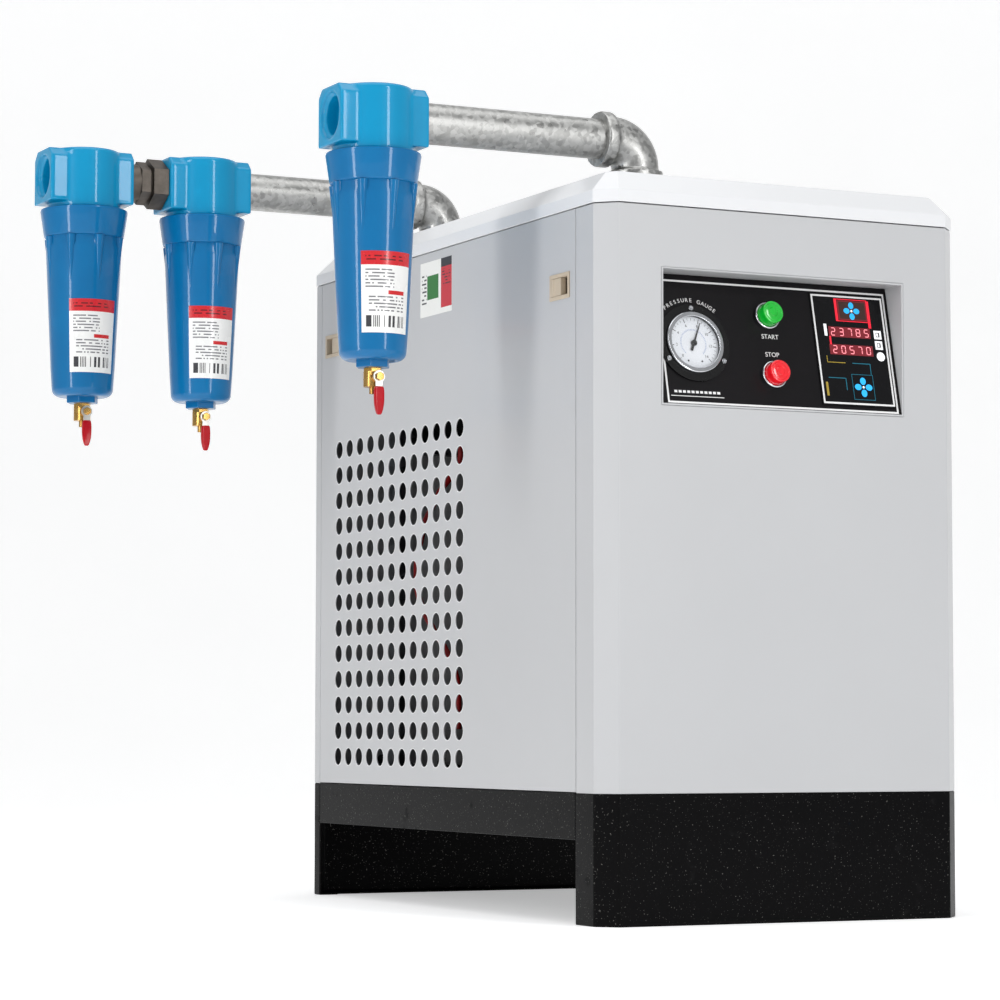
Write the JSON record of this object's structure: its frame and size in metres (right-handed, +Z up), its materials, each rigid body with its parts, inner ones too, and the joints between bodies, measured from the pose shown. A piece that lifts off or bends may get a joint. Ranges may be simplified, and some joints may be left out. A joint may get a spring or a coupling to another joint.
{
  "type": "refrigerated air dryer",
  "caption": "Free-standing cabinet air dryer with control recess, perforated lift-off side panels, fork-slotted plinth and outboard line filters on threaded pipes",
  "frame": {"origin": "on the floor, under the middle of the cabinet's footprint", "axes": "+X to the right seen from the front, the front face with the controls looks along -Y, +Z up"},
  "size_m": [0.8143, 0.7881, 0.846],
  "materials": {
    "black_plinth": "satin black enamel",
    "cabinet_grey": "glossy light grey enamel",
    "cover_white": "glossy off-white enamel",
    "zinc_sheet": "zinc-plated sheet",
    "beige_plastic": "moulded beige",
    "printed_label": "printed film",
    "black_fascia": "black film and moulding",
    "display_window": "smoked window",
    "gauge_black": "black enamel",
    "chrome_trim": "polished chrome",
    "gauge_dial": "white enamel with printed scale",
    "clear_glass": "clear",
    "green_button": "translucent green",
    "red_button": "translucent red",
    "galvanised": "hot-dip galvanised",
    "black_rubber": "matt",
    "blue_enamel": "glossy cyan-blue enamel on castings",
    "dark_steel": "blackened steel",
    "filter_media": "pleated element",
    "brass": "machined brass",
    "red_vinyl": "dipped vinyl on plated steel",
    "insulation": "closed-cell insulation",
    "black_enamel": "semi-gloss black",
    "fin_aluminium": "mill finish fins",
    "fan_plastic": "moulded",
    "copper_tube": "drawn copper",
    "red_lead": "insulated lead",
    "drain_parts": "black moulding and hose",
    "gland_plastic": "black nylon"
  },
  "bodies": {
    "root": {"after_filter_bowl": "blue_enamel", "after_filter_head": "blue_enamel", "auto_drain": "drain_parts", "branch_pipes": "galvanised", "cable_gland": "gland_plastic", "compressor": "black_enamel", "compressor_lead": "red_lead", "compressor_mounts": "black_rubber", "condenser_coil": "fin_aluminium", "console_tray": "cabinet_grey", "control_fascia": "black_fascia", "display_housing": "black_fascia", "display_window": "display_window", "drain_valves": "brass", "electrical_box": "zinc_sheet", "exchanger_stands": "zinc_sheet", "fan_motor": "black_enamel", "fan_shroud": "zinc_sheet", "filter_elements": "filter_media", "filter_labels": "printed_label", "filter_nipple": "dark_steel", "final_filter_bowl": "blue_enamel", "final_filter_head": "blue_enamel", "floor_pan": "zinc_sheet", "front_panel": "cabinet_grey", "gauge_bezel": "chrome_trim", "gauge_case": "gauge_black", "gauge_dial": "gauge_dial", "gauge_lens": "clear_glass", "gauge_screws": "chrome_trim", "heat_exchanger": "insulation", "pipe_elbows": "galvanised", "plinth_front": "black_plinth", "plinth_rear": "black_plinth", "plinth_side_rails": "black_plinth", "pre_filter_bowl": "blue_enamel", "pre_filter_head": "blue_enamel", "rear_panel": "cabinet_grey", "refrigerant_lines": "copper_tube", "riser_grommets": "black_rubber", "riser_pipes": "galvanised", "switch_bodies": "chrome_trim", "top_cover": "cover_white", "upper_rails": "zinc_sheet"},
    "left_panel": {"left_side_panel": "cabinet_grey", "left_latch_frames": "beige_plastic", "side_label": "printed_label"},
    "right_panel": {"right_side_panel": "cabinet_grey", "right_latch_frames": "beige_plastic"},
    "left_front_latch": {"left_front_latch_tab": "beige_plastic"},
    "left_rear_latch": {"left_rear_latch_tab": "beige_plastic"},
    "right_front_latch": {"right_front_latch_tab": "beige_plastic"},
    "right_rear_latch": {"right_rear_latch_tab": "beige_plastic"},
    "start_push": {"start_button": "green_button"},
    "stop_push": {"stop_button": "red_button"},
    "pointer": {"gauge_pointer": "gauge_black"},
    "fan": {"fan_blade": "fan_plastic"},
    "pre_lever": {"pre_drain_lever": "red_vinyl"},
    "after_lever": {"after_drain_lever": "red_vinyl"},
    "final_lever": {"final_drain_lever": "red_vinyl"}
  },
  "joints": [
    {"name": "left_panel_lift_off", "type": "slide", "parent": "root", "child": "left_panel", "axis": [-1, 0, 0], "range_m": [0, 0.12]},
    {"name": "right_panel_lift_off", "type": "slide", "parent": "root", "child": "right_panel", "axis": [1, 0, 0], "range_m": [0, 0.3]},
    {"name": "left_front_latch_slide", "type": "slide", "parent": "left_panel", "child": "left_front_latch", "axis": [0, -1, 0], "range_m": [0, 0.008]},
    {"name": "left_rear_latch_slide", "type": "slide", "parent": "left_panel", "child": "left_rear_latch", "axis": [0, 1, 0], "range_m": [0, 0.008]},
    {"name": "right_front_latch_slide", "type": "slide", "parent": "right_panel", "child": "right_front_latch", "axis": [0, -1, 0], "range_m": [0, 0.008]},
    {"name": "right_rear_latch_slide", "type": "slide", "parent": "right_panel", "child": "right_rear_latch", "axis": [0, 1, 0], "range_m": [0, 0.008]},
    {"name": "start_button_press", "type": "slide", "parent": "root", "child": "start_push", "axis": [0, 0.9752, -0.2213], "range_m": [0, 0.004], "stiffness_N_per_m": 800, "springref_m": -0.003},
    {"name": "stop_button_press", "type": "slide", "parent": "root", "child": "stop_push", "axis": [0, 0.9752, -0.2213], "range_m": [0, 0.004], "stiffness_N_per_m": 800, "springref_m": -0.003},
    {"name": "pointer_turn", "type": "hinge", "parent": "root", "child": "pointer", "pos_m": [-0.1015, -0.35945, 0.58931], "axis": [0, 0.9752, -0.2213], "range_deg": [-159, 111]},
    {"name": "fan_spin", "type": "hinge", "parent": "root", "child": "fan", "pos_m": [0.126, 0.1215, 0.344], "axis": [1, 0, 0], "continuous": true},
    {"name": "pre_drain_turn", "type": "hinge", "parent": "root", "child": "pre_lever", "pos_m": [-0.407, -0.2572, 0.5505], "axis": [0, 1, 0], "range_deg": [0, 90]},
    {"name": "after_drain_turn", "type": "hinge", "parent": "root", "child": "after_lever", "pos_m": [-0.407, 0.2268, 0.5505], "axis": [0, 1, 0], "range_deg": [0, 90]},
    {"name": "final_drain_turn", "type": "hinge", "parent": "root", "child": "final_lever", "pos_m": [-0.549, 0.2268, 0.5505], "axis": [0, 1, 0], "range_deg": [0, 90]}
  ]
}
